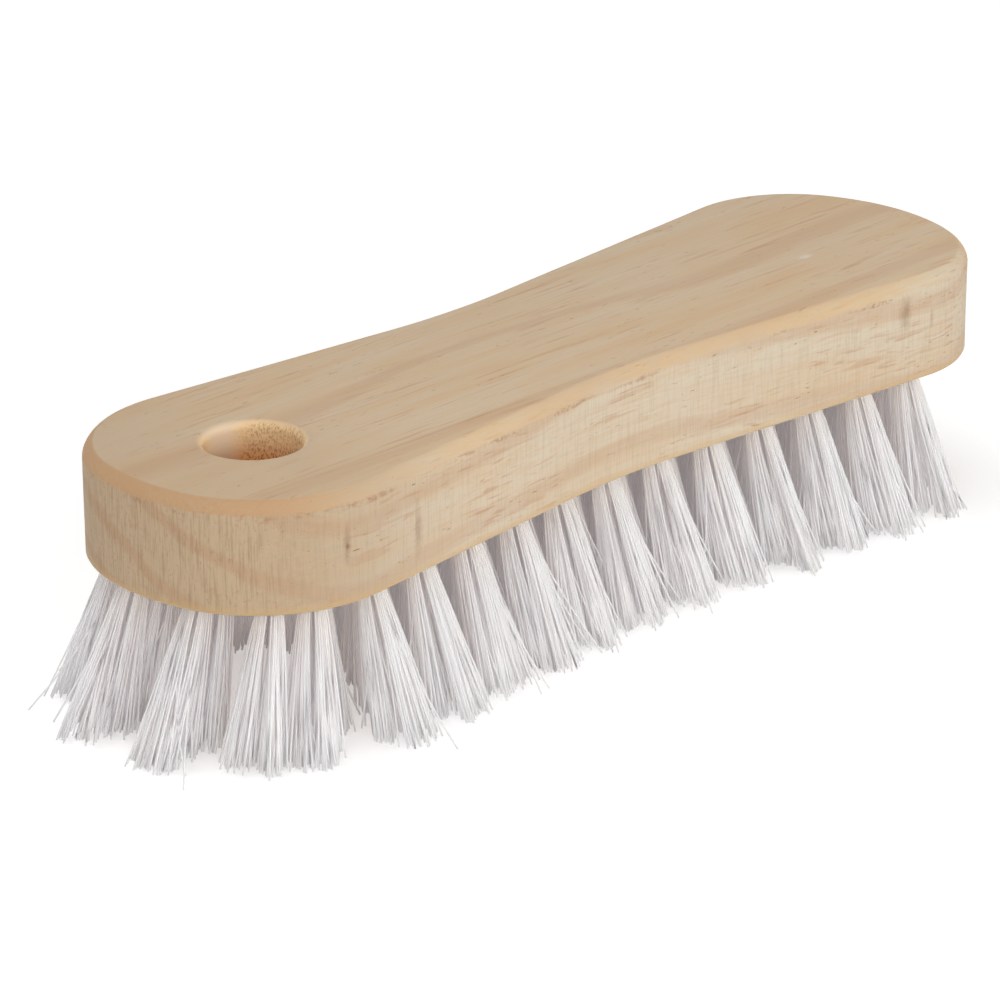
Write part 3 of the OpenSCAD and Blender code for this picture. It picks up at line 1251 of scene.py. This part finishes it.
@dataclass
class BristleTufts:
    """The tufts of filaments, each folded over its wire and fanned out to the ground."""

    seats: list
    bore: float = 4.8 * MM
    filament: float = 0.38 * MM
    folds_per_tuft: int = 90
    wire_thickness: float = 0.45 * MM
    tip_spread: float = 6.6 * MM
    spread_power: float = 0.75
    clumps: int = 7
    clump_drift: float = 0.9 * MM
    own_drift: float = 0.8 * MM
    wild_share: float = 0.06
    wild_drift: float = 3.2 * MM
    trim_ragged: float = 0.9 * MM
    short_share: float = 0.1
    short_most: float = 3.2 * MM
    drift_power: float = 1.8
    wall_gap: float = 0.05 * MM
    loosest_pitch: float = 1.4
    pitch_step: float = 0.98
    fold_points: int = 5
    fold_rise: float = 0.55
    fold_reach: float = 0.8
    below_wire: float = 1.2 * MM
    thickness_range: tuple = (0.9, 1.08)
    row_gap: float = 1 * MM
    sides: int = 5
    leg_shares: tuple = (0.0, 0.14, 0.3, 0.48, 0.66, 0.84, 1.0)
    rng: np.random.Generator = field(default_factory=lambda: np.random.default_rng(SEED))

    def rows(self) -> list[list]:
        """Sorts the seats into rows across the block.

        Returns:
            The seats of each row, from the grip's end.
        """
        rows = []
        for seat in self.seats:
            if not rows or abs(seat.mouth.x - rows[-1][0].mouth.x) > self.row_gap:
                rows.append([])
            rows[-1].append(seat)
        return rows

    def build_row(self, number: int, seats: list) -> bpy.types.Object:
        """Builds the filaments of one row as one piece.

        Args:
            number: The row's number, from 1.
            seats: The row's seats.

        Returns:
            The row's mesh.
        """
        paths = [self._paths(seat) for seat in seats]
        along = self._along()
        rings = np.concatenate([self._tubes(path, seat) for path, seat in zip(paths, seats)])
        count, steps = rings.shape[0], rings.shape[1]
        faces = self._faces(count, steps)
        piece = mesh_object(f"filaments_row_{number:02d}", rings.reshape(-1, 3), faces)
        piece.data.shade_smooth()
        tones = self.rng.uniform(0, 1, count)
        per_ring = np.repeat(tones, steps * self.sides)
        self._store(piece, Attribute.TONE, per_ring)
        self._store(piece, Attribute.ALONG, np.tile(np.repeat(along, self.sides), count))
        return piece

    def dress(self, piece: bpy.types.Object, node: str, material: bpy.types.Material) -> None:
        """Gives a row its finish and its place in the frame."""
        piece.data.materials.append(material)
        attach(piece, ROOT_BODY)
        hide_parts(node)

    @staticmethod
    def _store(piece: bpy.types.Object, name: Attribute, values: np.ndarray) -> None:
        """Stores a value for each point of a mesh."""
        layer = piece.data.attributes.new(name.value, "FLOAT", "POINT")
        layer.data.foreach_set("value", values.astype(np.float32))

    def _along(self) -> np.ndarray:
        """Gives each ring's share of the way from the mouth of the hole to the tip."""
        leg = np.array(self.leg_shares)
        return np.concatenate([leg[::-1], np.zeros(self.fold_points), leg])

    def _root_places(self) -> np.ndarray:
        """Packs the roots into half the hole, clear of the wire.

        Returns:
            Places along and across the wire, in metres.
        """
        reach = self.bore / 2 - self.filament / 2 - self.wall_gap
        nearest = self.wire_thickness / 2 + self.filament / 2
        pitch = self.filament * self.loosest_pitch
        while True:
            places = []
            rows = int(reach / pitch) + 2
            for j in range(rows):
                for i in range(-rows * 2, rows * 2):
                    a = (i + 0.5 * (j % 2)) * pitch
                    n = nearest + j * pitch * math.sqrt(3) / 2
                    if math.hypot(a, n) <= reach:
                        places.append((a, n))
            if len(places) >= self.folds_per_tuft:
                order = sorted(places, key=lambda p: math.hypot(*p))
                return np.array(order[:self.folds_per_tuft])
            pitch *= self.pitch_step

    def _paths(self, seat: TuftSeat) -> np.ndarray:
        """Lays out the middle lines of one tuft's filaments.

        Args:
            seat: The tuft's hole and anchor.

        Returns:
            Points of each filament: one leg from its tip up, the fold, and the other leg down.
        """
        roots = self._root_places()
        count = len(roots)
        wire, across = np.array(seat.along_wire), np.array(seat.across_wire)
        up, mouth = np.array(seat.up), np.array(seat.mouth)
        clump_drifts = self.rng.normal(0, self.clump_drift, (self.clumps, 2))
        clump_trims = self.rng.uniform(0, self.trim_ragged, self.clumps)
        legs = []
        for side in (1, -1):
            flat = roots * np.array([1, side])
            turns = np.arctan2(flat[:, 1], flat[:, 0])
            clump = ((turns + math.pi) / math.tau * self.clumps * 0.999).astype(int)
            drift = clump_drifts[clump] + self.rng.normal(0, self.own_drift, (count, 2))
            wild = self.rng.random(count) < self.wild_share
            drift[wild] += self.rng.normal(0, self.wild_drift, (wild.sum(), 2))
            trim = clump_trims[clump] + self.rng.uniform(0, self.trim_ragged, count)
            short = self.rng.random(count) < self.short_share
            trim[short] += self.rng.uniform(0, self.short_most, short.sum())
            legs.append(self._leg(flat, drift, trim, wire, across, up, mouth))
        fold = self._fold(roots, wire, across, up, mouth, seat.fold_height)
        return np.concatenate([legs[0][:, ::-1], fold, legs[1]], 1)

    def _leg(self, flat: np.ndarray, drift: np.ndarray, trim: np.ndarray, wire: np.ndarray,
             across: np.ndarray, up: np.ndarray, mouth: np.ndarray) -> np.ndarray:
        """Lays out one leg of each filament, from the hole's mouth to the tip.

        Args:
            flat: Places at the mouth, along and across the wire.
            drift: How far each tip strays, along and across the wire.
            trim: How far short of the ground each tip ends.
            wire: Direction along the wire.
            across: Direction across the wire.
            up: Direction up the hole.
            mouth: Middle of the hole's mouth.

        Returns:
            Points of each leg.
        """
        shares = np.array(self.leg_shares)
        widest = self.bore / 2
        spread = 1 + (self.tip_spread / widest - 1) * shares ** self.spread_power
        bend = shares ** self.drift_power
        aside = flat[:, None, :] * spread[None, :, None] + drift[:, None, :] * bend[None, :, None]
        drop = (mouth[2] - self.filament * 0.5 - trim)[:, None] * shares[None, :]
        middle = mouth - (up / up[2]) * drop[..., None]
        level_wire = wire - up * (wire[2] / up[2])
        level_across = across - up * (across[2] / up[2])
        return middle + aside[..., :1] * level_wire + aside[..., 1:] * level_across

    def _fold(self, roots: np.ndarray, wire: np.ndarray, across: np.ndarray, up: np.ndarray,
              mouth: np.ndarray, height: float) -> np.ndarray:
        """Lays out the fold of each filament over the wire.

        Args:
            roots: Places along and across the wire.
            wire: Direction along the wire.
            across: Direction across the wire.
            up: Direction up the hole.
            mouth: Middle of the hole's mouth.
            height: Height of the wire's upper edge above the mouth.

        Returns:
            The fold's points, as many as fold_points says, for each filament.
        """
        a, n = roots[:, 0], roots[:, 1]
        lift = self.filament * 0.6 + n * self.fold_rise
        beside, over = height - self.below_wire, height + lift * self.fold_rise
        stations = [(n, beside), (n * self.fold_reach, over), (n * 0, height + lift),
                    (-n * self.fold_reach, over), (-n, beside)]
        points = [mouth + a[:, None] * wire + np.reshape(off, (-1, 1)) * across
                  + np.reshape(rise * np.ones_like(n), (-1, 1)) * up for off, rise in stations]
        return np.stack(points, 1)

    def _tubes(self, paths: np.ndarray, seat: TuftSeat) -> np.ndarray:
        """Draws a thin tube round each path.

        Args:
            paths: Points of each filament.
            seat: The tuft's hole and anchor.

        Returns:
            Corners of each ring of each filament.
        """
        tangent = np.gradient(paths, axis=1)
        tangent /= np.linalg.norm(tangent, axis=2, keepdims=True)
        wire = np.array(seat.along_wire)
        first = wire - tangent * (tangent @ wire)[..., None]
        first /= np.linalg.norm(first, axis=2, keepdims=True)
        second = np.cross(tangent, first)
        turns = np.arange(self.sides) * math.tau / self.sides
        radius = self.filament / 2 * self.rng.uniform(*self.thickness_range, len(paths))
        spokes = (first[:, :, None] * np.cos(turns)[:, None]
                  + second[:, :, None] * np.sin(turns)[:, None])
        rings = paths[:, :, None] + spokes * radius[:, None, None, None]
        rings[..., 2] = np.maximum(rings[..., 2], 0)
        return rings

    def _faces(self, count: int, steps: int) -> list:
        """Lists the faces of all tubes.

        Args:
            count: Number of filaments.
            steps: Rings in each filament.

        Returns:
            Four corners of each side, and the caps.
        """
        faces = []
        for tube in range(count):
            tube_faces = ring_faces(tube * steps * self.sides, steps, self.sides)
            faces.extend(face[::-1] for face in tube_faces)
        return faces


@dataclass(frozen=True)
class PhotoCamera:
    """The camera at the photograph's viewing angle, fitted to the block's outline."""

    azimuth: float = -45.6
    elevation: float = 22.04
    roll: float = -0.29
    distance: float = 0.9374
    aside: float = 0.0097
    above: float = 0.03382
    focal_pixels: float = 4622.0
    image_pixels: float = 1000.0
    sensor: float = 36.0
    clip: tuple = (0.05, 20.0)

    def build(self, aim: Vector) -> bpy.types.Object:
        """Places the camera.

        Args:
            aim: The point that the fit's angles and distance are taken from.

        Returns:
            The camera.
        """
        turn, rise, roll = (math.radians(a) for a in (self.azimuth, self.elevation, self.roll))
        back = Vector((math.sin(turn) * math.cos(rise), -math.cos(turn) * math.cos(rise),
                       math.sin(rise)))
        level = Vector((math.cos(turn), math.sin(turn), 0))
        upright = back.cross(level)
        right = level * math.cos(roll) + upright * math.sin(roll)
        up = upright * math.cos(roll) - level * math.sin(roll)
        data = bpy.data.cameras.new("photo_camera")
        data.sensor_width = self.sensor
        data.lens = self.focal_pixels / self.image_pixels * self.sensor
        data.dof.use_dof = False
        data.clip_start, data.clip_end = self.clip
        camera = bpy.data.objects.new("photo_camera", data)
        place = aim + back * self.distance - right * self.aside - up * self.above
        turned = Matrix((right, up, back)).transposed().to_4x4()
        camera.matrix_world = Matrix.Translation(place) @ turned
        bpy.context.scene.collection.objects.link(camera)
        bpy.context.scene.camera = camera
        return camera


@dataclass(frozen=True)
class Lamp:
    """A soft area lamp."""

    name: str
    place: tuple
    power: float
    size: float

    def build(self, aim: Vector) -> None:
        """Places the lamp so that it shines at a point."""
        data = bpy.data.lights.new(self.name, "AREA")
        data.energy, data.size = self.power, self.size
        lamp = bpy.data.objects.new(self.name, data)
        lamp.location = self.place
        lamp.rotation_mode = "QUATERNION"
        lamp.rotation_quaternion = (aim - Vector(self.place)).to_track_quat("-Z", "Y")
        bpy.context.scene.collection.objects.link(lamp)


@dataclass(frozen=True)
class Studio:
    """A white floor, plain soft light and a white background."""

    floor_half: float = 3.0
    world_strength: float = 0.32
    light_bounces: int = 24
    lamps: tuple = (Lamp("front lamp", (0.8, -1.4, 0.35), 9.0, 1.0),
                    Lamp("low lamp", (-0.95, -1.15, 0.3), 13.5, 1.4),
                    Lamp("top lamp", (-0.2, 0.4, 1.7), 12.2, 1.4))

    def build(self, floor_material: bpy.types.Material, aim: Vector) -> None:
        """Builds floor, world and lamps, and allows the many bounces that white bristle needs.

        Args:
            floor_material: Finish of the floor.
            aim: The point that the lamps shine at.
        """
        half = self.floor_half
        corners = np.array([(-half, -half, 0), (half, -half, 0), (half, half, 0),
                            (-half, half, 0)])
        floor = mesh_object("paper_floor", corners, [(0, 1, 2, 3)])
        floor.data.materials.append(floor_material)
        self._world()
        for lamp in self.lamps:
            lamp.build(aim)
        scene = bpy.context.scene
        scene.view_settings.view_transform = "Standard"
        scene.cycles.max_bounces = scene.cycles.diffuse_bounces = self.light_bounces

    def _world(self) -> None:
        """Builds a plain white world that the camera sees as pure white."""
        world = bpy.data.worlds.new("white studio")
        world.use_nodes = True
        bpy.context.scene.world = world
        sheet = Sheet(world.node_tree)
        background = next(n for n in world.node_tree.nodes if n.type == "BACKGROUND")
        background.inputs["Color"].default_value = WHITE
        sheet.plug(sheet.step(sheet.seen_white(), 0.0, 1.0, self.world_strength, 1.0),
                   background.inputs["Strength"])


def main() -> None:
    """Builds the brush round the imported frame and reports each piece."""
    logging.basicConfig(level=logging.INFO, format="%(name)s: %(message)s")
    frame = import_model()
    low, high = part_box("wood_block")
    hole = HangingHole.from_record(frame["record"], low, high)
    centre_x = (low.x + high.x) / 2
    top_middle = Vector((centre_x, 0, high.z))
    PhotoCamera().build(top_middle)
    effects = SharedEffects.build()
    Studio().build(PaleFloor().build(effects), top_middle)

    wires = WireAnchors(frame["nodes"]["anchor_wires"], low.z)
    wires.dress(DrawnWire().build(effects))
    seats = wires.seats()
    LOG.info("anchor_wires: %d wires in place", len(seats))

    outline = BlockOutline(high.x - low.x, centre_x)
    block_maker = WoodBlock(outline, hole, seats)
    block = block_maker.build()
    block_maker.dress(block, BareWood().build(effects, hole, outline))
    LOG.info("%s: %d faces", block.name, len(block.data.polygons))

    bristle = WhiteBristle().build(effects)
    tufts = BristleTufts(seats)
    for number, row_seats in enumerate(tufts.rows(), 1):
        row = tufts.build_row(number, row_seats)
        tufts.dress(row, f"tuft_row_{number:02d}", bristle)
        LOG.info("%s: %d tufts, %d faces", row.name, len(row_seats), len(row.data.polygons))


if __name__ == "__main__":
    main()
